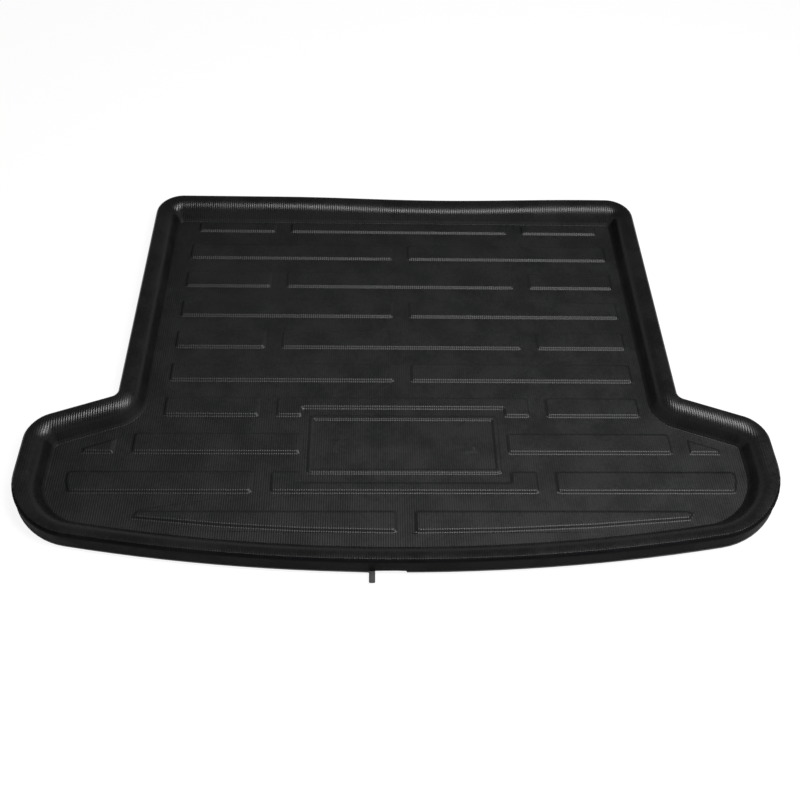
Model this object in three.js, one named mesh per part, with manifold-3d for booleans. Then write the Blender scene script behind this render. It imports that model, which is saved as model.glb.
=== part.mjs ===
// Car boot liner: one formed foam sheet with a rolled rim, a brick pattern of raised pads
// and a framed blank panel. Millimetres, Z up. The origin is on the underside, midway
// between the back and front edges. +Y points to the seats and -Y to the tailgate.

import * as THREE from 'three';
import { mergeVertices } from 'three/addons/utils/BufferGeometryUtils.js';
import Module from 'manifold-3d';

// Plan outline, measured at the foot of the outer skirt.
const OVERALL_WIDTH = 1300;
const OVERALL_DEPTH = 883.5;
const NARROW_WIDTH = 1010;
const WING_DEPTH = 340;
const WING_ANGLE = THREE.MathUtils.degToRad(21.3);
const BACK_CORNER_RADIUS = 62;
const NOTCH_RADIUS = 12;
const WING_REAR_RADIUS = 56;
const WING_FRONT_RADIUS = 126;
const FRONT_BOW_RADIUS = 3130;

// Rolled rim, an upside-down U of the same sheet.
const SHEET = 4;
const RIM_HEIGHT = 40;
const RIM_WIDTH = 48;
const SKIRT_DRAFT = 2.5;
const SKIRT_LIFT = 8;
const INNER_WALL_RUN = 18;
const OUTER_ROLL_RADIUS = 12;
const INNER_ROLL_RADIUS = 15;
const FOOT_RADIUS = 5;
const FLOOR_LAP = 5;

// The back rim has settled a little to the right of its middle.
const BACK_SAG = 7;
const BACK_SAG_X = 90;
const BACK_SAG_REACH = 330;

// The pads and the panel lie a little to the right of the outline's middle.
const PATTERN_X = 6;

// Raised pads, laid like bricks.
const PAD_PITCH_X = 490;
const PAD_PITCH_Y = 81.3;
const PAD_GAP_X = 30;
const PAD_DEPTH = 44;
const PAD_RAISE = 3;
const PAD_BEVEL = 1.6;
const PAD_CORNER_RADIUS = 4;
const FIRST_PAD_FRONT = 80.5;
const FIRST_PAD_DEPTH = 29;
const FIRST_PAD_REACH = 422;
const LEAST_PAD_GAP_Y = 30;
const PAD_MARGIN = 26;
const LAST_PAD_MARGIN = 27.3;
const LAST_PAD_DEPTH = 40;
const LAST_PAD_REACH = 476;
const LAST_PAD_TIP = 22;
const LAST_PAD_BOW_RADIUS = 3800;
const RECESS_INSET = 3;

// Framed panel in the middle of the front.
const PANEL_WIDTH = 364;
const PANEL_DEPTH = 159;
const PANEL_FROM_FRONT = 174;
const FRAME_INSET_X = 13;
const FRAME_INSET_BACK = 15.5;
const FRAME_INSET_FRONT = 17.5;
const FRAME_BEAD_WIDTH = 10;
const FRAME_BEAD_RAISE = 2.6;
const BEAD_BEVEL = 1.4;
const FRAME_CORNER_RADIUS = 6;
const BLANK_WIDTH = 250;
const BLANK_DEPTH = 30;
const BLANK_RAISE = 1.4;
const BLANK_CORNER_RADIUS = 12;
const BLANK_FROM_FRAME = 52;

// Trimmed place in the front skirt, with the tab left beside it.
const TRIM_X = -20;
const TRIM_WIDTH = 50;
const TRIM_HEIGHT = 5;
const TAB_X = -51;
const TAB_WIDTH = 10;
const TAB_REACH = 19;
const TAB_DROOP = 5;
const TAB_THICKNESS = 3.4;
const TAB_BEND_SHARE = 0.6;

// Fineness of the round stretches.
const ARC_STEP = THREE.MathUtils.degToRad(13);
const ROLL_STEP = THREE.MathUtils.degToRad(25);
const BOW_STEPS = 11;
const BACK_STEPS = 8;
const LAST_PAD_STEPS = 5;
const TIP_STEPS = 4;
const TAB_STEPS = 4;
const PAD_CORNER_STEPS = 2;
const LEAST_RADIUS = 4;

// Cutters run past the faces that they cut, and reliefs start inside the floor.
const PAST = 3;
const LAP_LOW = 0.6;

const LINER_COLOUR = 0x2b2c2f;
const LINER_ROUGHNESS = 0.55;

const halfDepth = OVERALL_DEPTH / 2;
const padTop = SHEET + PAD_RAISE;

const wasm = await Module();
wasm.setup();

// Walks along corners, rounding each by its radius, and gives points with the normal
// on the left of the direction of travel.
function roundedPath(corners, step) {
  const points = [];
  for (let i = 0; i < corners.length; i += 1) {
    const here = corners[i];
    const into = directionBetween(corners[i - 1] ?? here, corners[i - 1] ? here : corners[i + 1]);
    const out = directionBetween(corners[i + 1] ? here : corners[i - 1], corners[i + 1] ?? here);
    points.push(...roundedCorner(here, into, out, step));
  }
  return points;
}

function directionBetween(a, b) {
  return new THREE.Vector2(b.x - a.x, b.y - a.y).normalize();
}

function leftNormal(direction) {
  return new THREE.Vector2(-direction.y, direction.x);
}

function roundedCorner(corner, into, out, step) {
  const turn = Math.atan2(into.cross(out), into.dot(out));
  if (!corner.r || Math.abs(turn) < 1e-6) {
    return [pathPoint(new THREE.Vector2(corner.x, corner.y), leftNormal(into))];
  }
  const side = Math.sign(turn);
  const setback = corner.r * Math.tan(Math.abs(turn) / 2);
  const start = new THREE.Vector2(corner.x, corner.y).addScaledVector(into, -setback);
  const centre = start.clone().addScaledVector(leftNormal(into), side * corner.r);
  const count = Math.max(2, Math.ceil(Math.abs(turn) / step));
  const points = [];
  for (let i = 0; i <= count; i += 1) {
    const normal = leftNormal(into).rotateAround(new THREE.Vector2(), (turn * i) / count);
    points.push(pathPoint(centre.clone().addScaledVector(normal, -side * corner.r), normal));
  }
  return points;
}

function pathPoint(place, normal) {
  return { x: place.x, y: place.y, nx: normal.x, ny: normal.y };
}

// Right half of the outline, drawn in by an inset, clockwise from the middle of the back
// to the middle of the front.
function rightHalf(inset) {
  const side = NARROW_WIDTH / 2 - inset;
  const wing = OVERALL_WIDTH / 2 - inset;
  const back = halfDepth - inset;
  const lineShift = (inset * (1 - Math.sin(WING_ANGLE))) / Math.cos(WING_ANGLE);
  const notchY = WING_DEPTH - halfDepth - lineShift;
  const wingY = notchY - (wing - side) * Math.tan(WING_ANGLE);
  const cornerRadius = WING_FRONT_RADIUS - inset;
  const bowRadius = FRONT_BOW_RADIUS - inset;
  const bowCentreY = FRONT_BOW_RADIUS - halfDepth;
  const bowAngle = Math.asin((wing - cornerRadius) / (bowRadius - cornerRadius));
  const bowEndX = bowRadius * Math.sin(bowAngle);
  const bowEndY = bowCentreY - bowRadius * Math.cos(bowAngle);
  const sides = roundedPath([
    { x: 0, y: back },
    { x: side, y: back, r: drawnIn(BACK_CORNER_RADIUS, inset) },
    { x: side, y: notchY, r: NOTCH_RADIUS + inset },
    { x: wing, y: wingY, r: drawnIn(WING_REAR_RADIUS, inset) },
    { x: wing, y: bowEndY + (wing - bowEndX) * Math.tan(bowAngle), r: cornerRadius },
    { x: bowEndX, y: bowEndY },
  ], ARC_STEP).slice(1, -1);
  const bow = [];
  for (let i = 1; i <= BOW_STEPS; i += 1) {
    const angle = bowAngle * (1 - i / BOW_STEPS);
    const normal = new THREE.Vector2(Math.sin(angle), -Math.cos(angle));
    bow.push(pathPoint(new THREE.Vector2(0, bowCentreY).addScaledVector(normal, bowRadius), normal));
  }
  return [...backEdge(sides[0].x, back), ...sides, ...bow];
}

function drawnIn(radius, inset) {
  return Math.max(radius - inset, LEAST_RADIUS);
}

// Points along the straight back, close enough together for the sag to follow.
function backEdge(reach, y) {
  const points = [];
  for (let i = 0; i < BACK_STEPS; i += 1) {
    points.push({ x: (reach * i) / BACK_STEPS, y, nx: 0, ny: 1 });
  }
  return points;
}

function mirrored(point) {
  return { x: -point.x, y: point.y, nx: -point.nx, ny: point.ny };
}

function outline(inset = 0) {
  const right = rightHalf(inset);
  const left = right.slice(1, -1).reverse().map(mirrored);
  return [...right, ...left];
}

// Section of the rim: s runs inwards from the outline, and y is the height.
function rimSection() {
  const top = roundedPath([
    { x: 0, y: SKIRT_LIFT },
    { x: SKIRT_DRAFT, y: RIM_HEIGHT, r: OUTER_ROLL_RADIUS },
    { x: RIM_WIDTH - INNER_WALL_RUN, y: RIM_HEIGHT, r: INNER_ROLL_RADIUS },
    { x: RIM_WIDTH, y: SHEET, r: FOOT_RADIUS },
    { x: RIM_WIDTH + FLOOR_LAP, y: SHEET },
  ], ROLL_STEP);
  const under = top.map((p) => ({ x: p.x - p.nx * SHEET, y: p.y - p.ny * SHEET }));
  return [...top, ...under.reverse()];
}

// How far the back rim has settled at a place on the outline.
function sagAt(point) {
  const away = Math.abs(point.x - BACK_SAG_X) / BACK_SAG_REACH;
  if (point.ny < 0.999 || away >= 1) return 0;
  return (BACK_SAG * (1 + Math.cos(Math.PI * away))) / 2;
}

function sectionHeight(height, sag) {
  const share = Math.max(0, (height - SHEET) / (RIM_HEIGHT - SHEET));
  return height - sag * share ** 2;
}

// Carries the closed section round the closed outline.
function loftedRim(plan, section) {
  const places = [];
  const faces = [];
  for (const p of plan) {
    const sag = sagAt(p);
    for (const q of section) {
      places.push(p.x - p.nx * q.x, p.y - p.ny * q.x, sectionHeight(q.y, sag));
    }
  }
  const count = section.length;
  for (let i = 0; i < plan.length; i += 1) {
    const here = i * count;
    const next = ((i + 1) % plan.length) * count;
    for (let j = 0; j < count; j += 1) {
      const k = (j + 1) % count;
      faces.push(here + j, here + k, next + j);
      faces.push(here + k, next + k, next + j);
    }
  }
  const geometry = new THREE.BufferGeometry();
  geometry.setAttribute('position', new THREE.Float32BufferAttribute(places, 3));
  geometry.setIndex(faces);
  return geometry;
}

function outlineShape(inset) {
  return new THREE.Shape(outline(inset).map((p) => new THREE.Vector2(p.x, p.y)));
}

function toSolid(geometry) {
  const bare = geometry.index ? geometry.clone() : geometry;
  bare.deleteAttribute('normal');
  bare.deleteAttribute('uv');
  const merged = mergeVertices(bare, 1e-4);
  return new wasm.Manifold(new wasm.Mesh({
    numProp: 3,
    vertProperties: new Float32Array(merged.attributes.position.array),
    triVerts: new Uint32Array(merged.index.array),
  }));
}

function slab(shape, low, high) {
  const geometry = new THREE.ExtrudeGeometry(shape, { depth: high - low, bevelEnabled: false, curveSegments: 8 });
  return toSolid(geometry.translate(0, 0, low));
}

// A block whose upper and lower edges are bevelled inside its outline.
function bevelledBlock(shape, low, high, bevel) {
  const geometry = new THREE.ExtrudeGeometry(shape, {
    depth: high - low - 2 * bevel,
    bevelThickness: bevel,
    bevelSize: bevel,
    bevelOffset: -bevel,
    bevelSegments: 1,
    curveSegments: PAD_CORNER_STEPS,
  });
  return toSolid(geometry.translate(0, 0, low + bevel));
}

function roundedRectangle(xLow, xHigh, yLow, yHigh, radius) {
  const shape = new THREE.Shape();
  const quarter = Math.PI / 2;
  shape.absarc(xHigh - radius, yLow + radius, radius, -quarter, 0);
  shape.absarc(xHigh - radius, yHigh - radius, radius, 0, quarter);
  shape.absarc(xLow + radius, yHigh - radius, radius, quarter, 2 * quarter);
  shape.absarc(xLow + radius, yLow + radius, radius, 2 * quarter, 3 * quarter);
  return shape;
}

function union(solids) {
  return solids.reduce((all, next) => all.add(next));
}

// Front edge of a row of pads, counted from 1 at the back.
function rowFront(row) {
  return halfDepth - FIRST_PAD_FRONT - (row - 1) * PAD_PITCH_Y;
}

// Spans between the gaps of a row: every other row is shifted by half a pad.
function rowSpans(row, reach) {
  const shift = row % 2 === 0 ? 0 : PAD_PITCH_X / 2;
  const count = Math.ceil(reach / PAD_PITCH_X) + 1;
  const spans = [];
  for (let n = -count; n <= count; n += 1) {
    const low = Math.max(-reach, n * PAD_PITCH_X - shift + PAD_GAP_X / 2);
    const high = Math.min(reach, (n + 1) * PAD_PITCH_X - shift - PAD_GAP_X / 2);
    if (high - low > 2 * PAD_CORNER_RADIUS) spans.push([low, high]);
  }
  return spans;
}

function rowShapes(row, reach, depth, inset) {
  const front = rowFront(row) + inset;
  const back = rowFront(row) + depth - inset;
  return rowSpans(row, reach).map(([low, high]) => (
    roundedRectangle(low + inset, high - inset, front, back, PAD_CORNER_RADIUS)));
}

function lastRowFront() {
  return RIM_WIDTH + LAST_PAD_MARGIN - halfDepth;
}

// The rows that fit between the back and the last row.
function rowCount() {
  const room = rowFront(1) - lastRowFront() - LAST_PAD_DEPTH - LEAST_PAD_GAP_Y;
  return 1 + Math.floor(room / PAD_PITCH_Y);
}

// The last row follows the bow of the front, and its outer ends are rounded off.
function lastRowShape(side, inset) {
  const front = lastRowFront() + inset;
  const back = lastRowFront() + LAST_PAD_DEPTH - inset;
  const bowY = (x) => front + x ** 2 / (2 * LAST_PAD_BOW_RADIUS);
  const near = PAD_GAP_X / 2 + inset;
  const far = LAST_PAD_REACH - LAST_PAD_TIP - inset;
  const points = [new THREE.Vector2(side * near, back)];
  for (let i = 0; i <= LAST_PAD_STEPS; i += 1) {
    const x = near + ((far - near) * i) / LAST_PAD_STEPS;
    points.push(new THREE.Vector2(side * x, bowY(x)));
  }
  const middle = (back + bowY(far)) / 2;
  for (let i = 1; i <= TIP_STEPS; i += 1) {
    const angle = Math.PI * (i / TIP_STEPS - 0.5);
    const x = far + LAST_PAD_TIP * Math.cos(angle);
    points.push(new THREE.Vector2(side * x, middle + (back - middle) * Math.sin(angle)));
  }
  return new THREE.Shape(points);
}

function panelEdges(grow) {
  const front = -halfDepth + PANEL_FROM_FRONT;
  return [-PANEL_WIDTH / 2 - grow, PANEL_WIDTH / 2 + grow, front - grow, front + PANEL_DEPTH + grow];
}

// All the pads as blocks between two heights. The middle rows keep inside the field that the
// rim leaves, and make way for the panel.
function pads(low, high, inset) {
  const block = (shape) => bevelledBlock(shape, low, high, PAD_BEVEL);
  const middle = [];
  for (let row = 2; row <= rowCount(); row += 1) {
    middle.push(...rowShapes(row, OVERALL_WIDTH / 2, PAD_DEPTH, inset).map(block));
  }
  const field = block(outlineShape(RIM_WIDTH + PAD_MARGIN + inset));
  const panel = slab(roundedRectangle(...panelEdges(inset), PAD_CORNER_RADIUS), low - PAST, high + PAST);
  const first = rowShapes(1, FIRST_PAD_REACH, FIRST_PAD_DEPTH, inset);
  const ends = [...first, lastRowShape(-1, inset), lastRowShape(1, inset)];
  return union([union(middle).intersect(field).subtract(panel), ...ends.map(block)]);
}

// Raised bead round the panel, and the blank bar inside it.
function panelRelief() {
  const [left, right, front, back] = panelEdges(0);
  const beadFront = front + FRAME_INSET_FRONT;
  const beadBack = back - FRAME_INSET_BACK;
  const edges = [left + FRAME_INSET_X, right - FRAME_INSET_X, beadFront, beadBack];
  const bead = roundedRectangle(...edges, FRAME_CORNER_RADIUS);
  const width = FRAME_BEAD_WIDTH;
  const inner = [edges[0] + width, edges[1] - width, edges[2] + width, edges[3] - width];
  bead.holes.push(roundedRectangle(...inner, FRAME_CORNER_RADIUS / 2));
  const barBack = beadBack - BLANK_FROM_FRAME;
  const half = BLANK_WIDTH / 2;
  const bar = roundedRectangle(-half, half, barBack - BLANK_DEPTH, barBack, BLANK_CORNER_RADIUS);
  return bevelledBlock(bead, LAP_LOW, SHEET + FRAME_BEAD_RAISE, BEAD_BEVEL)
    .add(bevelledBlock(bar, LAP_LOW, SHEET + BLANK_RAISE, BLANK_RAISE / 2));
}

// The shallow place where the edge of the front skirt has been trimmed higher.
function skirtTrim() {
  const box = new THREE.BoxGeometry(TRIM_WIDTH, SHEET + 2 * PAST, TRIM_HEIGHT + PAST);
  return toSolid(box.translate(TRIM_X, -halfDepth + SHEET / 2, SKIRT_LIFT + (TRIM_HEIGHT - PAST) / 2));
}

// The tab is a strap of the same sheet that leaves the skirt's edge and droops.
function tab() {
  const start = -halfDepth + SHEET / 2;
  const bend = start - TAB_REACH * TAB_BEND_SHARE;
  const end = start - TAB_REACH;
  const low = SKIRT_LIFT - TAB_DROOP;
  const top = SKIRT_LIFT + TAB_THICKNESS;
  const profile = new THREE.Shape();
  profile.moveTo(start, SKIRT_LIFT);
  profile.quadraticCurveTo(bend, SKIRT_LIFT, end, low);
  profile.lineTo(end, low + TAB_THICKNESS);
  profile.quadraticCurveTo(bend, top, start, top);
  const options = { depth: TAB_WIDTH, bevelEnabled: false, curveSegments: TAB_STEPS };
  const strap = new THREE.ExtrudeGeometry(profile, options);
  const toPlace = new THREE.Matrix4().makeBasis(
    new THREE.Vector3(0, 1, 0), new THREE.Vector3(0, 0, 1), new THREE.Vector3(1, 0, 0));
  return toSolid(strap.applyMatrix4(toPlace).translate(TAB_X - TAB_WIDTH / 2, 0, 0));
}

function liner() {
  const rim = toSolid(loftedRim(outline(), rimSection()));
  const floor = slab(outlineShape(RIM_WIDTH + FLOOR_LAP / 2), 0, SHEET);
  const place = [PATTERN_X, 0, 0];
  return rim.add(floor)
    .add(pads(LAP_LOW, padTop, 0).translate(place))
    .subtract(pads(-PAST, PAD_RAISE, RECESS_INSET).translate(place))
    .add(panelRelief().translate(place))
    .subtract(skirtTrim())
    .add(tab());
}

function toMesh(solid, name, material) {
  const { vertProperties, triVerts } = solid.getMesh();
  const geometry = new THREE.BufferGeometry();
  geometry.setAttribute('position', new THREE.BufferAttribute(vertProperties, 3));
  geometry.setIndex(new THREE.BufferAttribute(triVerts, 1));
  geometry.computeVertexNormals();
  const mesh = new THREE.Mesh(geometry, material);
  mesh.name = name;
  return mesh;
}

const foam = new THREE.MeshStandardMaterial({ color: LINER_COLOUR, roughness: LINER_ROUGHNESS, metalness: 0 });

const bootLiner = new THREE.Group();
bootLiner.add(toMesh(liner(), 'boot_liner', foam));

export default bootLiner;
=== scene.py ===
"""A formed black foam boot liner: rolled rim, raised pads laid like bricks and a blank panel."""

import math

import bmesh
import bpy
from mathutils import Matrix, Quaternion, Vector


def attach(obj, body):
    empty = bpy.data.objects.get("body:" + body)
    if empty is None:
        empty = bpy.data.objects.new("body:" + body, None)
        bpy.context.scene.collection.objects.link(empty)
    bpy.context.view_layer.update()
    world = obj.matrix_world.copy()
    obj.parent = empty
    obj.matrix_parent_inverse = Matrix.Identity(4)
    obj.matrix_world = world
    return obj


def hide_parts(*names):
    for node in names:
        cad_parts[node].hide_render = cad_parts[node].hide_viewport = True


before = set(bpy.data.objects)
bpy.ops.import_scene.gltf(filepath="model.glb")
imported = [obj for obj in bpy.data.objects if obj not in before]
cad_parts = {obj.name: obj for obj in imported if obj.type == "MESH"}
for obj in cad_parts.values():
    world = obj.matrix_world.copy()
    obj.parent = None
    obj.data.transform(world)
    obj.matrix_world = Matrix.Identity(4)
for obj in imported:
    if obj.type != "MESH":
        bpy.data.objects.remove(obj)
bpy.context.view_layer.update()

# Sizes in metres.
OVERALL_WIDTH = 1.300
OVERALL_DEPTH = 0.8835
NARROW_WIDTH = 1.010
WING_DEPTH = 0.340
WING_ANGLE = math.radians(21.3)
BACK_CORNER_RADIUS = 0.055
NOTCH_RADIUS = 0.012
WING_REAR_RADIUS = 0.056
LEFT_FRONT_RADIUS = 0.126
RIGHT_FRONT_RADIUS = 0.150
FRONT_BOW_RADIUS = 3.130

SHEET = 0.004
RIM_HEIGHT = 0.040
RIM_WIDTH = 0.048
SKIRT_DRAFT = 0.0025
SKIRT_LIFT = 0.008
SKIRT_FLARE = 0.0018
FLARE_RADIUS = 0.0008
INNER_WALL_RUN = 0.018
OUTER_ROLL_RADIUS = 0.006
INNER_ROLL_RADIUS = 0.030
FOOT_RADIUS = 0.0008
FLOOR_LAP = 0.004

BACK_SAG = 0.007
BACK_SAG_X = 0.090
BACK_SAG_REACH = 0.330

# The pads and the panel lie a little to the right of the outline's middle.
PATTERN_X = 0.006

PAD_PITCH_X = 0.490
PAD_PITCH_Y = 0.0813
PAD_GAP_X = 0.030
PAD_DEPTH = 0.044
PAD_RAISE = 0.004
PAD_WALL_RUN = 0.0040
PAD_MARGIN = 0.026
PAD_CORNER_RADIUS = 0.004
WING_PAD_SPARE = 0.005
WING_PAD_END = 0.559
WING_PAD_SPOT_X = 0.010
WING_PAD_SPOT_Y = 0.008
WING_CORNER_CUT_X = 0.0074
WING_CORNER_CUT_Y = 0.0235
FIRST_PAD_FRONT = 0.0805
FIRST_PAD_DEPTH = 0.029
FIRST_PAD_REACH = 0.422
LAST_FULL_ROW = 9
FIRST_WING_ROW = 8
ROW_BEHIND_PANEL = 7
ROW_BEFORE_PANEL = 9
LAST_PAD_MARGIN = 0.0273
LAST_PAD_DEPTH = 0.042
LAST_PAD_TIP = 0.012
LEFT_LAST_PAD_REACH = 0.465
LEFT_LAST_PAD_BOW = 3.800
RIGHT_LAST_PAD_REACH = 0.490
RIGHT_LAST_PAD_BOW = 4.700
LAST_PAD_STEPS = 8
TIP_STEPS = 4
LAST_PAD_TIP_X = 0.440

PANEL_WIDTH = 0.364
PANEL_DEPTH = 0.159
PANEL_FROM_FRONT = 0.174
FRAME_INSET_X = 0.013
FRAME_INSET_BACK = 0.0155
FRAME_INSET_FRONT = 0.0175
FRAME_BEAD_WIDTH = 0.010
FRAME_BEAD_RAISE = 0.0026
FRAME_WALL_RUN = 0.0022
FRAME_CORNER_RADIUS = 0.006
BLANK_WIDTH = 0.250
BLANK_DEPTH = 0.030
BLANK_RAISE = 0.0014
BLANK_WALL_RUN = 0.0022
BLANK_CORNER_RADIUS = 0.012
BLANK_FROM_FRAME = 0.052

TRIM_LEFT = -0.045
TRIM_RIGHT = 0.005
TRIM_HEIGHT = 0.005
TAB_LEFT = -0.055
SKIRT_REACH = 0.030
SKIRT_FACING = -0.5
TAB_STEPS = ((0, -0.006, 0.0008), (0, -0.006, -0.0008), (0, -0.005, -0.0015))

# Places of the finishes in the sheet's list.
CUT_EDGE_SLOT = 1
UNDERSIDE_SLOT = 2
SKIRT_SLOT = 3

# The skirt's faces look up less than the first, forward more than the second, and lie before the third.
SKIRT_TILT = 0.985
SKIRT_FORWARD = -0.12
SKIRT_DULL_Y = -0.26

# Fineness of the mesh.
START_SIZE = 0.01
CHAIN_MERGE = 0.0005
CORNER_MERGE = 0.0006
BACK_CORNER_SEGMENTS = 12
NOTCH_SEGMENTS = 7
WING_REAR_SEGMENTS = 9
FRONT_CORNER_SEGMENTS = 14
EDGE_SEGMENTS = 3
WALL_CORNER_ANGLE = math.radians(30)
LEVEL = 0.999
BOW_STEPS = 26
BACK_STEPS = 21
SECTION_STEP = math.radians(10)
CORNER_SEGMENTS = 3
EDGE_ROUNDING = 0.0017
EDGE_ROUNDING_ANGLE = math.radians(33)
SMOOTH_ANGLE = math.radians(30)

# Finishes, as linear colours, and depths in metres.
TRAY_BLACKS = ((0.006, 0.0067, 0.0066), (0.0087, 0.0094, 0.0092), (0.0115, 0.0122, 0.012))
TRAY_TINT = (0.0098, 0.0090, 0.0118, 1)
# The rim's blacks are darker than the tray's though it is the same foam: painted shade.
RIM_PAINTED_SHADE_BLACKS = ((0.003, 0.0031, 0.0036), (0.0045, 0.0046, 0.0052), (0.0065, 0.0066, 0.0072))
CUT_GREYS = ((0.03, 0.03, 0.032), (0.055, 0.056, 0.058), (0.085, 0.086, 0.088))
UNDERSIDE_BLACKS = ((0.012, 0.012, 0.013), (0.018, 0.018, 0.019), (0.024, 0.024, 0.025))
TINT_SHARE = 0.5
SKIRT_SPECULAR = 0.05
SKIRT_ROUGHNESS = (0.6, 0.75)
CUT_ROUGHNESS = (0.75, 0.9)
UNDERSIDE_ROUGHNESS = (0.62, 0.78)
RIM_ROUGHNESS = 0.34
TRAY_EXTRA_ROUGHNESS = 0.12
ROUGHNESS_SPREAD = 0.08
RIB_DEPTH = 0.00032
GRAIN_DEPTH = 0.00005
# Heights over which the tray's colour gives way to the rim's darker painted-shade blacks, and its
# roughness to the rim's.
TRAY_TOP = 0.0085
RIM_START = 0.0115
SWAY_LENGTH = 0.07
RIB_FADE = (0.3, 0.8)
LUMPS_TO_CELLS = 3.0
PEBBLES_TO_LUMPS = 0.6
CELL_SOFTNESS = 0.4
CLOUD_SHARE = 0.65
MOTTLE_RANGE = (0.36, 0.64)
BUBBLE_RANGE = (0.15, 0.75)

# Room light.
WALL_LIGHT = 0.5
CEILING_LIGHT = 0.12
HORIZON_HEIGHT = 0.02
CEILING_HEIGHT = 0.45
KEY_PLACE = Vector((0.75, -0.55, 2.0))
KEY_WIDTH = 0.7
KEY_LENGTH = 1.4
KEY_POWER = 48
FLOOR_SIZE = 40
FLOOR_DROP = 0.0005
FLOOR_GREY = 0.9
FLOOR_ROUGHNESS = 0.9
FLOOR_LIFT = 0.8
FLOOR_WHITE = 1.12

HALF_DEPTH = OVERALL_DEPTH / 2
SIDE_X = NARROW_WIDTH / 2
WING_X = OVERALL_WIDTH / 2
FIELD_INSET = RIM_WIDTH + PAD_MARGIN
WING_PAD_START = PAD_PITCH_X + PAD_GAP_X / 2
PANEL_FRONT = PANEL_FROM_FRONT - HALF_DEPTH
PANEL_BACK = PANEL_FRONT + PANEL_DEPTH
LAST_PAD_FRONT = RIM_WIDTH + LAST_PAD_MARGIN - HALF_DEPTH

# The camera's place, what it looks at, and its lens.
EYE = Vector((-0.0559, -1.16355, 1.3678))
LOOK_AT = Vector((0.0004, -0.08975, 0.0070))
CAMERA_ROLL = math.radians(2.6)
FOCAL_PIXELS = 950
PICTURE_PIXELS = 800
SENSOR_MM = 36


def deselect_all():
    bpy.ops.object.select_all(action="DESELECT")


def make_active(piece):
    deselect_all()
    piece.select_set(True)
    bpy.context.view_layer.objects.active = piece


def edit_mode(piece):
    make_active(piece)
    bpy.ops.object.mode_set(mode="EDIT")


def object_mode():
    bpy.ops.object.mode_set(mode="OBJECT")


def pick(piece, kind, test):
    """Selects, in edit mode, the vertices, edges or faces that a test passes, and no others."""
    bpy.ops.mesh.select_mode(type=kind)
    bpy.ops.mesh.select_all(action="DESELECT")
    mesh = bmesh.from_edit_mesh(piece.data)
    parts = {"VERT": mesh.verts, "EDGE": mesh.edges, "FACE": mesh.faces}[kind]
    found = [part for part in parts if test(part)]
    for part in found:
        part.select_set(True)
    mesh.select_flush_mode()
    bmesh.update_edit_mesh(piece.data)
    return len(found)


def near(a, b, slack=0.0002):
    return abs(a - b) < slack


# Outline and rim.


def flipped(place):
    return Vector((-place.x, place.y, place.z))


def outline_corners(front_radius):
    """Right-hand corners of the outline before rounding, and where the bow of the front ends."""
    notch = Vector((SIDE_X, WING_DEPTH - HALF_DEPTH, SKIRT_LIFT))
    rear = Vector((WING_X, notch.y - (WING_X - SIDE_X) * math.tan(WING_ANGLE), SKIRT_LIFT))
    angle = math.asin((WING_X - front_radius) / (FRONT_BOW_RADIUS - front_radius))
    bow_x = FRONT_BOW_RADIUS * math.sin(angle)
    bow_y = FRONT_BOW_RADIUS * (1 - math.cos(angle)) - HALF_DEPTH
    bow_end = Vector((bow_x, bow_y, SKIRT_LIFT))
    front = Vector((WING_X, bow_y + (WING_X - bow_x) * math.tan(angle), SKIRT_LIFT))
    back = Vector((SIDE_X, HALF_DEPTH, SKIRT_LIFT))
    return (back, notch, rear, front), bow_end, angle


def round_corner(piece, corner, radius, turn, segments):
    pick(piece, "VERT", lambda v: near(v.co.x, corner.x) and near(v.co.y, corner.y))
    setback = radius * math.tan(turn / 2)
    shape = {"segments": segments, "profile": 0.5, "clamp_overlap": False}
    bpy.ops.mesh.bevel(affect="VERTICES", offset=setback, **shape)


def draw_outline(piece):
    """The outline is drawn as a chain of edges: a spun bow, then straight sides, then a face."""
    right, bow_end, right_angle = outline_corners(RIGHT_FRONT_RADIUS)
    left, left_bow_end, left_angle = outline_corners(LEFT_FRONT_RADIUS)
    left = [flipped(corner) for corner in left]
    bpy.ops.mesh.merge(type="CENTER")
    bpy.ops.transform.translate(value=(-left_bow_end.x, left_bow_end.y, 0))
    centre = (0, FRONT_BOW_RADIUS - HALF_DEPTH, SKIRT_LIFT)
    sweep = -left_angle - right_angle
    bpy.ops.mesh.spin(steps=BOW_STEPS, angle=sweep, center=centre, axis=(0, 0, 1))
    here = bow_end
    for corner in [*reversed(right), *left, flipped(left_bow_end)]:
        bpy.ops.mesh.extrude_region_move(TRANSFORM_OT_translate={"value": corner - here})
        here = corner
    bpy.ops.mesh.select_all(action="SELECT")
    bpy.ops.mesh.remove_doubles(threshold=CHAIN_MERGE)
    bpy.ops.mesh.edge_face_add()
    if pick(piece, "FACE", lambda f: f.normal.z < 0):
        bpy.ops.mesh.flip_normals()
    square = math.pi / 2
    sides = ((right, RIGHT_FRONT_RADIUS, right_angle), (left, LEFT_FRONT_RADIUS, left_angle))
    for corners, front_radius, angle in sides:
        round_corner(piece, corners[0], BACK_CORNER_RADIUS, square, BACK_CORNER_SEGMENTS)
        round_corner(piece, corners[1], NOTCH_RADIUS, square - WING_ANGLE, NOTCH_SEGMENTS)
        round_corner(piece, corners[2], WING_REAR_RADIUS, square - WING_ANGLE, WING_REAR_SEGMENTS)
        round_corner(piece, corners[3], front_radius, square - angle, FRONT_CORNER_SEGMENTS)
    bpy.ops.mesh.select_all(action="SELECT")
    bpy.ops.mesh.remove_doubles(threshold=CORNER_MERGE)


def subdivide_back(piece):
    pick(piece, "EDGE", lambda e: all(near(v.co.y, HALF_DEPTH) for v in e.verts))
    bpy.ops.mesh.subdivide(number_cuts=BACK_STEPS)


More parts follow.
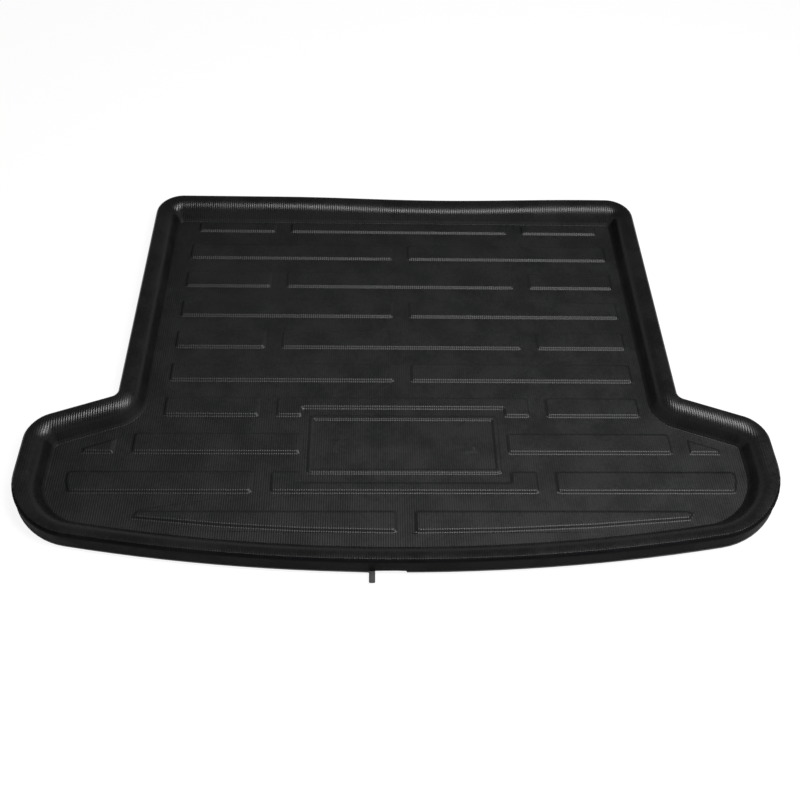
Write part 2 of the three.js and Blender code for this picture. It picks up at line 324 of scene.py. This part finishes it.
def rounded_section(corners, step):
    """Points of a section path whose corners (s, z, radius) are rounded."""
    points = [Vector(corners[0][:2])]
    for before, here, after in zip(corners, corners[1:], corners[2:]):
        corner = Vector(here[:2])
        into = (corner - Vector(before[:2])).normalized()
        out = (Vector(after[:2]) - corner).normalized()
        turn = into.angle_signed(out)
        start = corner - into * here[2] * math.tan(abs(turn) / 2)
        inwards = Vector((into.y, -into.x)) * math.copysign(here[2], turn)
        count = math.ceil(abs(turn) / step)
        for i in range(count + 1):
            points.append(start + inwards - Matrix.Rotation(-turn * i / count, 2) @ inwards)
    points.append(Vector(corners[-1][:2]))
    return points


def roll_rim(piece):
    """The rim grows from the outline by one inset after another, up over the crown and down."""
    section = rounded_section([
        (0.0, SKIRT_LIFT, 0),
        (SKIRT_FLARE, SKIRT_LIFT + SKIRT_FLARE, FLARE_RADIUS),
        (SKIRT_DRAFT, RIM_HEIGHT, OUTER_ROLL_RADIUS),
        (RIM_WIDTH - INNER_WALL_RUN, RIM_HEIGHT, INNER_ROLL_RADIUS),
        (RIM_WIDTH, SHEET, FOOT_RADIUS),
        (RIM_WIDTH + FLOOR_LAP, SHEET, 0),
    ], SECTION_STEP)
    pick(piece, "FACE", lambda f: True)
    for a, b in zip(section, section[1:]):
        bpy.ops.mesh.inset(thickness=b.x - a.x, depth=b.y - a.y, use_even_offset=True)


# Floor, pads and panel, laid out from the middle of the pattern.


def slide_all(along):
    bpy.ops.mesh.select_all(action="SELECT")
    bpy.ops.transform.translate(value=(along, 0, 0))


def at_floor(x, y):
    return Vector((x, y, SHEET))


def floor_face(face):
    return face.normal.z > LEVEL and all(near(v.co.z, SHEET) for v in face.verts)


def holds(face, spots):
    """True for the floor face that lies under one of the spots."""
    return floor_face(face) and any(bmesh.geometry.intersect_face_point(face, spot) for spot in spots)


def cut(piece, axis, at, test):
    """Cuts the floor faces that pass a test across x (0) or y (1)."""
    if not pick(piece, "FACE", lambda f: floor_face(f) and test(f.calc_center_bounds())):
        return
    place = [0, 0, SHEET]
    place[axis] = at
    normal = [0, 0, 0]
    normal[axis] = 1
    bpy.ops.mesh.bisect(plane_co=place, plane_no=normal)


def cut_sides(piece, spot, points):
    """Cuts the floor face that holds a spot along each side of an outline in turn."""
    for a, b in zip(points, points[1:]):
        pick(piece, "FACE", lambda f: holds(f, [spot]))
        bpy.ops.mesh.bisect(plane_co=a, plane_no=(b.y - a.y, a.x - b.x, 0))


def between(low, high):
    return lambda c: low < c.y < high


def row_front(row):
    return HALF_DEPTH - FIRST_PAD_FRONT - (row - 1) * PAD_PITCH_Y


def row_back(row):
    return row_front(row) + (FIRST_PAD_DEPTH if row == 1 else PAD_DEPTH)


def row_reach(row):
    if row == 1:
        return FIRST_PAD_REACH
    return (SIDE_X if row < FIRST_WING_ROW else WING_X) - FIELD_INSET


def row_spans(row):
    """Spans between the gaps of a row: every other row is shifted by half a pad."""
    reach = row_reach(row)
    shift = PAD_PITCH_X / 2 if row % 2 else 0
    spans = []
    for n in range(-2, 3):
        low = max(-reach, n * PAD_PITCH_X - shift + PAD_GAP_X / 2)
        high = min(reach, (n + 1) * PAD_PITCH_X - shift - PAD_GAP_X / 2)
        if high > low:
            spans.append((low, high))
    return spans


def cut_row(piece, row):
    """Cuts one row's gutters, and gives a spot inside each of its pads."""
    front = row_front(row)
    back = row_back(row)
    least = PANEL_WIDTH / 2 if front < PANEL_BACK and back > PANEL_FRONT else 0
    for at in (front, back):
        cut(piece, 1, at, lambda c: abs(c.x) >= least)
    spots = []
    for span in row_spans(row):
        for at in span:
            cut(piece, 0, at, lambda c: front < c.y < back and abs(c.x) >= least)
        spots.append(at_floor(sum(span) / 2, (front + back) / 2))
    return spots


def join_round_panel(piece, row):
    """The middle pad of a row beside the panel is made one face again, with the panel cut out."""
    back = row == ROW_BEHIND_PANEL
    strip_y = (PANEL_BACK + row_back(row)) / 2 if back else (PANEL_FRONT + row_front(row)) / 2
    leg_x = (PANEL_WIDTH + PAD_PITCH_X - PAD_GAP_X) / 4
    leg_y = (row_front(row) + row_back(row)) / 2
    strip = at_floor(0, strip_y)
    pick(piece, "FACE", lambda f: holds(f, [strip, at_floor(leg_x, leg_y), at_floor(-leg_x, leg_y)]))
    bpy.ops.mesh.dissolve_faces()
    return strip


def wing_slope(side):
    """Two points on the rear border of a wing's pads, which follows the wing's rear edge."""
    x = SIDE_X - FIELD_INSET
    drop = FIELD_INSET * (1 - math.sin(WING_ANGLE)) / math.cos(WING_ANGLE)
    y = WING_DEPTH - HALF_DEPTH - drop + WING_PAD_SPARE
    return at_floor(side * x, y), at_floor(side * (x + 1), y - math.tan(WING_ANGLE))


def trim_wing_pads(piece, side):
    """The wing pads follow the slope of the wing's rear edge and its rounded front corner."""
    tip_y = row_front(FIRST_WING_ROW) + WING_PAD_SPOT_Y
    tip = at_floor(side * (WING_PAD_START + WING_PAD_SPOT_X), tip_y)
    cut_sides(piece, tip, wing_slope(side))
    cut_sides(piece, tip, [at_floor(side * WING_PAD_END, 0), at_floor(side * WING_PAD_END, 1)])
    outer = WING_X - FIELD_INSET
    front = row_front(LAST_FULL_ROW)
    corner_back = at_floor(side * outer, front + WING_CORNER_CUT_Y)
    corner_front = at_floor(side * (outer - WING_CORNER_CUT_X), front)
    spot = at_floor(side * (outer - PAD_DEPTH / 2), front + PAD_DEPTH / 2)
    cut_sides(piece, spot, [corner_back, corner_front])
    return tip


def last_pad_points(side):
    """Corners of the last pad: the bowed front, then its rounded outer end."""
    back = LAST_PAD_FRONT + LAST_PAD_DEPTH
    start = PAD_GAP_X / 2
    reach, bow_radius = LEFT_LAST_PAD_REACH, LEFT_LAST_PAD_BOW
    if side > 0:
        reach, bow_radius = RIGHT_LAST_PAD_REACH, RIGHT_LAST_PAD_BOW
    far = reach - LAST_PAD_TIP
    points = []
    for i in range(LAST_PAD_STEPS + 1):
        x = start + (far - start) * i / LAST_PAD_STEPS
        points.append((x, LAST_PAD_FRONT + x * x / (2 * bow_radius)))
    middle = (back + points[-1][1]) / 2
    for i in range(1, TIP_STEPS + 1):
        angle = math.pi * (i / TIP_STEPS - 0.5)
        x = far + LAST_PAD_TIP * math.cos(angle)
        points.append((x, middle + (back - middle) * math.sin(angle)))
    points += [(start, back), (start, LAST_PAD_FRONT)]
    return [at_floor(side * x, y) for x, y in points]


def cut_floor(piece):
    """Gutters are cut between the pads, and the panel's place is kept whole."""
    cut(piece, 1, row_back(ROW_BEHIND_PANEL), lambda c: True)
    cut(piece, 1, row_front(ROW_BEFORE_PANEL), lambda c: True)
    column = between(row_front(ROW_BEFORE_PANEL), row_back(ROW_BEHIND_PANEL))
    for side in (-1, 1):
        cut(piece, 0, side * PANEL_WIDTH / 2, column)
    for at in (PANEL_FRONT, PANEL_BACK):
        cut(piece, 1, at, lambda c: column(c) and abs(c.x) < PANEL_WIDTH / 2)
    spots = []
    for row in range(1, LAST_FULL_ROW + 1):
        found = cut_row(piece, row)
        if row in (ROW_BEHIND_PANEL, ROW_BEFORE_PANEL):
            found = [spot for spot in found if abs(spot.x) > PANEL_WIDTH / 2]
            found.append(join_round_panel(piece, row))
        spots += found
    cut(piece, 0, 0, lambda c: c.y < row_front(LAST_FULL_ROW))
    for side in (-1, 1):
        wing_pad_x = side * (WING_PAD_START + row_reach(FIRST_WING_ROW)) / 2
        spots = [spot for spot in spots if not near(spot.x, wing_pad_x)]
        spots.append(trim_wing_pads(piece, side))
        spot = at_floor(side * PAD_PITCH_X / 2, LAST_PAD_FRONT + LAST_PAD_DEPTH / 2)
        cut_sides(piece, spot, last_pad_points(side))
        spots.append(spot)
    return spots


def wall_edge(edge, top):
    """True for the slanted edge at a corner of something that stands up from the floor."""
    low, high = sorted(v.co.z for v in edge.verts)
    return near(low, SHEET) and near(high, top) and edge.calc_face_angle(0) > WALL_CORNER_ANGLE


def round_walls(piece, top, radius, test):
    pick(piece, "EDGE", lambda e: wall_edge(e, top) and test((e.verts[0].co + e.verts[1].co) / 2))
    bpy.ops.mesh.bevel(offset=radius, segments=CORNER_SEGMENTS, clamp_overlap=False)


def stays_sharp(place):
    """True at the corners of a wing's small pad, and at the outer end of a last pad."""
    on_wing_pad = abs(place.x) > PAD_PITCH_X and place.y > row_back(LAST_FULL_ROW)
    at_tip = abs(place.x) > LAST_PAD_TIP_X and place.y < row_front(LAST_FULL_ROW)
    return on_wing_pad or at_tip


def raise_pads(piece, spots):
    pick(piece, "FACE", lambda f: holds(f, spots))
    bpy.ops.mesh.inset(thickness=PAD_WALL_RUN, depth=PAD_RAISE, use_individual=True)
    round_walls(piece, SHEET + PAD_RAISE, PAD_CORNER_RADIUS, lambda c: not stays_sharp(c))


def raise_panel(piece):
    """A bead stands round the panel, and a blank bar lies inside it."""
    centre = at_floor(0, (PANEL_FRONT + PANEL_BACK) / 2)
    left = FRAME_INSET_X - PANEL_WIDTH / 2
    front = PANEL_FRONT + FRAME_INSET_FRONT
    back = PANEL_BACK - FRAME_INSET_BACK
    cut_sides(piece, centre, rectangle(left, -left, front, back))
    pick(piece, "FACE", lambda f: holds(f, [centre]))
    bpy.ops.mesh.inset(thickness=FRAME_BEAD_WIDTH, use_individual=True, use_select_inset=True)
    bpy.ops.mesh.inset(thickness=FRAME_WALL_RUN, depth=FRAME_BEAD_RAISE)
    middle = -left - FRAME_BEAD_WIDTH / 2
    top = SHEET + FRAME_BEAD_RAISE
    round_walls(piece, top, FRAME_CORNER_RADIUS, lambda c: abs(c.x) > middle)
    round_walls(piece, top, FRAME_CORNER_RADIUS / 2, lambda c: abs(c.x) < middle)
    bar_back = back - BLANK_FROM_FRAME
    bar = at_floor(0, bar_back - BLANK_DEPTH / 2)
    half = BLANK_WIDTH / 2
    cut_sides(piece, bar, rectangle(-half, half, bar_back - BLANK_DEPTH, bar_back))
    pick(piece, "FACE", lambda f: holds(f, [bar]))
    bpy.ops.mesh.inset(thickness=BLANK_WALL_RUN, depth=BLANK_RAISE, use_individual=True)
    round_walls(piece, SHEET + BLANK_RAISE, BLANK_CORNER_RADIUS, lambda c: True)


def rectangle(left, right, front, back):
    corners = [(left, front), (right, front), (right, back), (left, back), (left, front)]
    return [at_floor(x, y) for x, y in corners]


# Front skirt.


def skirt_part(face, left, right, top):
    c = face.calc_center_bounds()
    in_front = c.y < SKIRT_REACH - HALF_DEPTH and face.normal.y < SKIRT_FACING
    return in_front and left < c.x < right and c.z < top


def trim_skirt(piece):
    """The edge of the front skirt is cut higher beside the tab."""
    for at in (TAB_LEFT, TRIM_LEFT, TRIM_RIGHT):
        pick(piece, "FACE", lambda f: skirt_part(f, 2 * TAB_LEFT, -2 * TAB_LEFT, RIM_HEIGHT / 2))
        bpy.ops.mesh.bisect(plane_co=(at, 0, 0), plane_no=(1, 0, 0))
    height = SKIRT_LIFT + TRIM_HEIGHT
    pick(piece, "FACE", lambda f: skirt_part(f, TRIM_LEFT, TRIM_RIGHT, RIM_HEIGHT / 2))
    bpy.ops.mesh.bisect(plane_co=(0, 0, height), plane_no=(0, 0, 1))
    pick(piece, "FACE", lambda f: skirt_part(f, TRIM_LEFT, TRIM_RIGHT, height))
    bpy.ops.mesh.delete(type="FACE")


def tab_edge(edge):
    x = (edge.verts[0].co.x + edge.verts[1].co.x) / 2
    on_edge = all(near(v.co.z, SKIRT_LIFT) and v.co.y < 0 for v in edge.verts)
    return on_edge and TAB_LEFT < x < TRIM_LEFT and edge.is_boundary


def pull_tab(piece):
    pick(piece, "EDGE", tab_edge)
    for step in TAB_STEPS:
        bpy.ops.mesh.extrude_region_move(TRANSFORM_OT_translate={"value": step})


def on_front_skirt(face):
    """True where the front rim looks forward, above the flare at its foot."""
    c = face.calc_center_bounds()
    high = c.z > SKIRT_LIFT + SKIRT_FLARE
    return high and c.y < SKIRT_DULL_Y and face.normal.y < SKIRT_FORWARD and face.normal.z < SKIRT_TILT


def on_flare(face):
    z = face.calc_center_bounds().z
    return SKIRT_LIFT < z < SKIRT_LIFT + SKIRT_FLARE and face.normal.z < SKIRT_TILT


def finish_outside(piece):
    """The front skirt is dull, and the flare at its foot shows the cut foam."""
    for slot, test in ((SKIRT_SLOT, on_front_skirt), (CUT_EDGE_SLOT, on_flare)):
        piece.active_material_index = slot
        pick(piece, "FACE", test)
        bpy.ops.object.material_slot_assign()


# Whole sheet.


def sink_back(piece):
    """The back rim has settled a little to the right of its middle."""
    for vertex in piece.data.vertices:
        place = vertex.co
        away = abs(place.x - BACK_SAG_X) / BACK_SAG_REACH
        if place.y < HALF_DEPTH - RIM_WIDTH - FLOOR_LAP or away >= 1:
            continue
        share = max(0, (place.z - SHEET) / (RIM_HEIGHT - SHEET))
        place.z -= BACK_SAG * (1 + math.cos(math.pi * away)) / 2 * share ** 2


def apply_all(piece):
    make_active(piece)
    for modifier in list(piece.modifiers):
        bpy.ops.object.modifier_apply(modifier=modifier.name)


def thicken(piece):
    make_active(piece)
    bpy.ops.object.modifier_add(type="SOLIDIFY")
    sheet = piece.modifiers[-1]
    sheet.thickness = SHEET
    sheet.offset = -1
    sheet.use_even_offset = True
    sheet.material_offset = UNDERSIDE_SLOT
    sheet.material_offset_rim = CUT_EDGE_SLOT
    bpy.ops.object.modifier_add(type="BEVEL")
    rounding = piece.modifiers[-1]
    rounding.width = EDGE_ROUNDING
    rounding.segments = EDGE_SEGMENTS
    rounding.angle_limit = EDGE_ROUNDING_ANGLE
    rounding.use_clamp_overlap = False
    apply_all(piece)
    bpy.ops.object.shade_smooth_by_angle(angle=SMOOTH_ANGLE)
    bpy.ops.object.modifier_add(type="WEIGHTED_NORMAL")
    piece.modifiers[-1].keep_sharp = True
    apply_all(piece)


def rest_flat(piece):
    """The underside lies flat on the floor."""
    for vertex in piece.data.vertices:
        vertex.co.z = max(vertex.co.z, 0)


def make_liner(finishes):
    bpy.ops.mesh.primitive_plane_add(size=START_SIZE, location=(0, 0, SKIRT_LIFT))
    piece = bpy.context.object
    piece.name = "liner_sheet"
    bpy.ops.object.transform_apply(location=True, rotation=True, scale=True)
    for finish in finishes:
        piece.data.materials.append(finish)
    edit_mode(piece)
    bpy.ops.mesh.select_all(action="SELECT")
    draw_outline(piece)
    subdivide_back(piece)
    roll_rim(piece)
    slide_all(-PATTERN_X)
    raise_pads(piece, cut_floor(piece))
    raise_panel(piece)
    slide_all(PATTERN_X)
    trim_skirt(piece)
    finish_outside(piece)
    pull_tab(piece)
    object_mode()
    sink_back(piece)
    thicken(piece)
    rest_flat(piece)
    return piece


# Finishes.


def feed(tree, socket, value):
    """A socket takes a wire from another socket, or a plain value."""
    if isinstance(value, bpy.types.NodeSocket):
        tree.links.new(value, socket)
    else:
        socket.default_value = value


def reckon(tree, operation, *values):
    node = tree.nodes.new("ShaderNodeMath")
    node.operation = operation
    for socket, value in zip(node.inputs, values):
        feed(tree, socket, value)
    return node.outputs[0]


def spread(tree, value, low, high, to_low, to_high):
    """Carries a value smoothly from one range to another."""
    node = tree.nodes.new("ShaderNodeMapRange")
    node.interpolation_type = "SMOOTHSTEP"
    for socket, number in zip(node.inputs, (value, low, high, to_low, to_high)):
        feed(tree, socket, number)
    return node.outputs[0]


def cloud(tree, place, size, detail):
    """Soft noise, whose lumps have about the given size in metres."""
    node = tree.nodes.new("ShaderNodeTexNoise")
    feed(tree, node.inputs["Vector"], place)
    feed(tree, node.inputs["Scale"], reckon(tree, "DIVIDE", 1.0, size))
    feed(tree, node.inputs["Detail"], detail)
    return node.outputs[0]


def cells(tree, place, size):
    node = tree.nodes.new("ShaderNodeTexVoronoi")
    node.feature = "SMOOTH_F1"
    feed(tree, node.inputs["Vector"], place)
    feed(tree, node.inputs["Scale"], reckon(tree, "DIVIDE", 1.0, size))
    feed(tree, node.inputs["Smoothness"], CELL_SOFTNESS)
    return node.outputs["Distance"]


def split(tree, vector):
    node = tree.nodes.new("ShaderNodeSeparateXYZ")
    feed(tree, node.inputs[0], vector)
    return node.outputs


def start_group(name, numbers, outputs):
    """A node group that takes the place on the piece and some named numbers."""
    group = bpy.data.node_groups.new(name, "ShaderNodeTree")
    group.interface.new_socket("Place", in_out="INPUT", socket_type="NodeSocketVector")
    for label, value in numbers.items():
        socket = group.interface.new_socket(label, in_out="INPUT", socket_type="NodeSocketFloat")
        socket.default_value = value
    for label in outputs:
        group.interface.new_socket(label, in_out="OUTPUT", socket_type="NodeSocketFloat")
    given = group.nodes.new("NodeGroupInput").outputs
    made = group.nodes.new("NodeGroupOutput").inputs
    return group, given, made


def fine_ribs_group():
    """Narrow round ribs that run from front to back, and fade on walls that face sideways."""
    group, given, made = start_group("fine_ribs", {"Pitch": 0.004, "Sway": 0.0005}, ("Height",))
    waver = cloud(group, given["Place"], SWAY_LENGTH, detail=1.0)
    sway = reckon(group, "MULTIPLY", waver, given["Sway"])
    across = reckon(group, "ADD", split(group, given["Place"])["X"], sway)
    turns = reckon(group, "MULTIPLY", reckon(group, "DIVIDE", across, given["Pitch"]), math.pi)
    ridge = reckon(group, "ABSOLUTE", reckon(group, "SINE", turns))
    facing = group.nodes.new("ShaderNodeNewGeometry").outputs["Normal"]
    sideways = reckon(group, "ABSOLUTE", split(group, facing)["X"])
    fade = spread(group, sideways, *RIB_FADE, 1, 0)
    feed(group, made["Height"], reckon(group, "MULTIPLY", ridge, fade))
    return group


def skin_grain_group():
    """A pebbled skin: small rounded cells over slightly larger lumps."""
    group, given, made = start_group("skin_grain", {"Cell Size": 0.0016}, ("Height",))
    pebbles = reckon(group, "SUBTRACT", 1.0, cells(group, given["Place"], given["Cell Size"]))
    lump_size = reckon(group, "MULTIPLY", given["Cell Size"], LUMPS_TO_CELLS)
    lumps = cloud(group, given["Place"], lump_size, detail=3.0)
    pebbles = reckon(group, "MULTIPLY", pebbles, PEBBLES_TO_LUMPS)
    feed(group, made["Height"], reckon(group, "ADD", pebbles, lumps))
    return group


def mottle_group():
    """Uneven shade: broad clouds with smaller spots in them."""
    group, given, made = start_group("mottle", {"Cloud Size": 0.06, "Spot Size": 0.007}, ("Shade",))
    broad = cloud(group, given["Place"], given["Cloud Size"], detail=3.0)
    spots = cloud(group, given["Place"], given["Spot Size"], detail=2.0)
    broad = reckon(group, "MULTIPLY", broad, CLOUD_SHARE)
    spots = reckon(group, "MULTIPLY", spots, 1 - CLOUD_SHARE)
    feed(group, made["Shade"], spread(group, reckon(group, "ADD", broad, spots), *MOTTLE_RANGE, 0, 1))
    return group


def open_cells_group():
    """The torn bubbles of foam where it is cut or has no skin."""
    group, given, made = start_group("open_cells", {"Cell Size": 0.0007}, ("Height", "Shade"))
    bubbles = cells(group, given["Place"], given["Cell Size"])
    feed(group, made["Height"], bubbles)
    feed(group, made["Shade"], spread(group, bubbles, *BUBBLE_RANGE, 0, 1))
    return group


def place_group(tree, group, place, **numbers):
    node = tree.nodes.new("ShaderNodeGroup")
    node.node_tree = group
    feed(tree, node.inputs["Place"], place)
    for label, value in numbers.items():
        feed(tree, node.inputs[label.replace("_", " ")], value)
    return node.outputs


def colours(tree, share, *stops):
    """Colours blended by a share from 0 to 1."""
    node = tree.nodes.new("ShaderNodeValToRGB")
    ramp = node.color_ramp
    while len(ramp.elements) < len(stops):
        ramp.elements.new(0.5)
    for i, stop in enumerate(stops):
        ramp.elements[i].position = i / (len(stops) - 1)
        ramp.elements[i].color = (*stop, 1)
    feed(tree, node.inputs[0], share)
    return node.outputs[0]


def blend(tree, share, a, b):
    node = tree.nodes.new("ShaderNodeMix")
    node.data_type = "RGBA"
    feed(tree, node.inputs["Factor"], share)
    feed(tree, node.inputs[6], a)
    feed(tree, node.inputs[7], b)
    return node.outputs[2]


def bump(tree, height, distance, strength=1.0, normal=None):
    node = tree.nodes.new("ShaderNodeBump")
    feed(tree, node.inputs["Height"], height)
    feed(tree, node.inputs["Distance"], distance)
    feed(tree, node.inputs["Strength"], strength)
    if normal:
        feed(tree, node.inputs["Normal"], normal)
    return node.outputs["Normal"]


def start_material(name):
    material = bpy.data.materials.new(name)
    material.use_nodes = True
    tree = material.node_tree
    place = tree.nodes.new("ShaderNodeTexCoord").outputs["Object"]
    return material, tree, tree.nodes["Principled BSDF"].inputs, place


def ribbed_foam(fine_ribs, skin_grain, mottle):
    """Satin black skin: finer and duller in the tray, smoother on the rim, whose base colour is made
    darker as painted shade.
    """
    material, tree, surface, place = start_material("ribbed_foam")
    shade = place_group(tree, mottle, place)["Shade"]
    tint = place_group(tree, mottle, place, Cloud_Size=0.11, Spot_Size=0.015)["Shade"]
    # Height mask: below it the tray's colours and rougher finish, above it the rim's darker
    # painted-shade blacks and smoother finish.
    tray = spread(tree, split(tree, place)["Z"], TRAY_TOP, RIM_START, 1, 0)
    tray_colour = colours(tree, shade, *TRAY_BLACKS)
    tray_colour = blend(tree, reckon(tree, "MULTIPLY", tint, TINT_SHARE), tray_colour, TRAY_TINT)
    feed(tree, surface["Base Color"], blend(tree, tray, colours(tree, shade, *RIM_PAINTED_SHADE_BLACKS), tray_colour))
    gloss = reckon(tree, "ADD", RIM_ROUGHNESS, reckon(tree, "MULTIPLY", tray, TRAY_EXTRA_ROUGHNESS))
    uneven = reckon(tree, "MULTIPLY", reckon(tree, "SUBTRACT", shade, 0.5), ROUGHNESS_SPREAD)
    feed(tree, surface["Roughness"], reckon(tree, "ADD", gloss, uneven))
    grain = place_group(tree, skin_grain, place)["Height"]
    ribs = place_group(tree, fine_ribs, place)["Height"]
    feed(tree, surface["Normal"], bump(tree, ribs, RIB_DEPTH, normal=bump(tree, grain, GRAIN_DEPTH)))
    return material


def dull_skirt(skin_grain, mottle):
    """The front skirt, which has no polish."""
    material, tree, surface, place = start_material("dull_skirt")
    shade = place_group(tree, mottle, place)["Shade"]
    # The skirt takes the rim's darker blacks, which are painted shade for the same foam.
    feed(tree, surface["Base Color"], colours(tree, shade, *RIM_PAINTED_SHADE_BLACKS))
    feed(tree, surface["Roughness"], spread(tree, shade, 0, 1, *SKIRT_ROUGHNESS))
    feed(tree, surface["Specular IOR Level"], SKIRT_SPECULAR)
    grain = place_group(tree, skin_grain, place, Cell_Size=0.0022)["Height"]
    feed(tree, surface["Normal"], bump(tree, grain, GRAIN_DEPTH))
    return material


def cut_foam(open_cells, mottle):
    """The pale core of the foam, where the sheet was cut."""
    material, tree, surface, place = start_material("cut_foam")
    bubbles = place_group(tree, open_cells, place)
    shade = place_group(tree, mottle, place, Cloud_Size=0.03)["Shade"]
    share = reckon(tree, "MULTIPLY", reckon(tree, "ADD", bubbles["Shade"], shade), 0.5)
    feed(tree, surface["Base Color"], colours(tree, share, *CUT_GREYS))
    feed(tree, surface["Roughness"], spread(tree, share, 0, 1, *CUT_ROUGHNESS))
    feed(tree, surface["Normal"], bump(tree, bubbles["Height"], GRAIN_DEPTH))
    return material


def bare_underside(open_cells, skin_grain, mottle):
    """The matt side that lay on the mould."""
    material, tree, surface, place = start_material("bare_underside")
    bubbles = place_group(tree, open_cells, place, Cell_Size=0.0012)
    grain = place_group(tree, skin_grain, place, Cell_Size=0.0025)["Height"]
    shade = place_group(tree, mottle, place)["Shade"]
    feed(tree, surface["Base Color"], colours(tree, shade, *UNDERSIDE_BLACKS))
    feed(tree, surface["Roughness"], spread(tree, shade, 0, 1, *UNDERSIDE_ROUGHNESS))
    pebbled = bump(tree, grain, GRAIN_DEPTH)
    normal = bump(tree, bubbles["Height"], GRAIN_DEPTH, strength=0.6, normal=pebbled)
    feed(tree, surface["Normal"], normal)
    return material


# Camera, floor and light.


def add_camera():
    camera_data = bpy.data.cameras.new("photo_camera")
    camera_data.sensor_width = SENSOR_MM
    camera_data.lens = FOCAL_PIXELS / PICTURE_PIXELS * SENSOR_MM
    camera = bpy.data.objects.new("photo_camera", camera_data)
    bpy.context.scene.collection.objects.link(camera)
    level = (LOOK_AT - EYE).to_track_quat("-Z", "Y")
    roll = Quaternion((0, 0, 1), CAMERA_ROLL)
    camera.matrix_world = Matrix.Translation(EYE) @ (level @ roll).to_matrix().to_4x4()
    bpy.context.scene.camera = camera


def add_world():
    """Light walls that dim towards the ceiling."""
    world = bpy.data.worlds.new("soft_studio")
    world.use_nodes = True
    tree = world.node_tree
    aim = tree.nodes.new("ShaderNodeTexCoord").outputs["Generated"]
    grey = spread(tree, split(tree, aim)["Z"], HORIZON_HEIGHT, CEILING_HEIGHT, WALL_LIGHT, CEILING_LIGHT)
    feed(tree, tree.nodes["Background"].inputs["Strength"], grey)
    tree.nodes["Background"].inputs["Color"].default_value = (1, 1, 1, 1)
    bpy.context.scene.world = world


def add_soft_key():
    light = bpy.data.lights.new("soft_key", "AREA")
    light.shape = "RECTANGLE"
    light.size = KEY_WIDTH
    light.size_y = KEY_LENGTH
    light.energy = KEY_POWER
    lamp = bpy.data.objects.new("soft_key", light)
    aim = (-KEY_PLACE).to_track_quat("-Z", "Y")
    lamp.matrix_world = Matrix.Translation(KEY_PLACE) @ aim.to_matrix().to_4x4()
    bpy.context.scene.collection.objects.link(lamp)


def add_floor():
    """A wide pale floor, which the camera and reflections see as nearly white."""
    bpy.ops.mesh.primitive_plane_add(size=FLOOR_SIZE, location=(0, 0, -FLOOR_DROP))
    floor = bpy.context.object
    floor.name = "pale_floor"
    bpy.ops.object.transform_apply(location=True, rotation=True, scale=True)
    material = bpy.data.materials.new("pale_floor")
    material.use_nodes = True
    tree = material.node_tree
    surface = tree.nodes["Principled BSDF"]
    surface.inputs["Base Color"].default_value = (FLOOR_GREY, FLOOR_GREY, FLOOR_GREY, 1)
    surface.inputs["Roughness"].default_value = FLOOR_ROUGHNESS
    surface.inputs["Specular IOR Level"].default_value = 0
    white = tree.nodes.new("ShaderNodeEmission")
    white.inputs["Strength"].default_value = FLOOR_WHITE
    rays = tree.nodes.new("ShaderNodeLightPath").outputs
    seen = reckon(tree, "ADD", rays["Is Camera Ray"], rays["Is Glossy Ray"])
    seen = reckon(tree, "ADD", seen, rays["Is Transmission Ray"])
    mix = tree.nodes.new("ShaderNodeMixShader")
    feed(tree, mix.inputs[0], reckon(tree, "MULTIPLY", seen, FLOOR_LIFT))
    feed(tree, mix.inputs[1], surface.outputs[0])
    feed(tree, mix.inputs[2], white.outputs[0])
    feed(tree, tree.nodes["Material Output"].inputs["Surface"], mix.outputs[0])
    floor.data.materials.append(material)


mottle = mottle_group()
skin_grain = skin_grain_group()
open_cells = open_cells_group()
liner = make_liner([
    ribbed_foam(fine_ribs_group(), skin_grain, mottle),
    cut_foam(open_cells, mottle),
    bare_underside(open_cells, skin_grain, mottle),
    dull_skirt(skin_grain, mottle),
])
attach(liner, "root")
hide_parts("boot_liner")
add_camera()
add_world()
add_soft_key()
add_floor()
bpy.context.scene.view_settings.view_transform = "Standard"
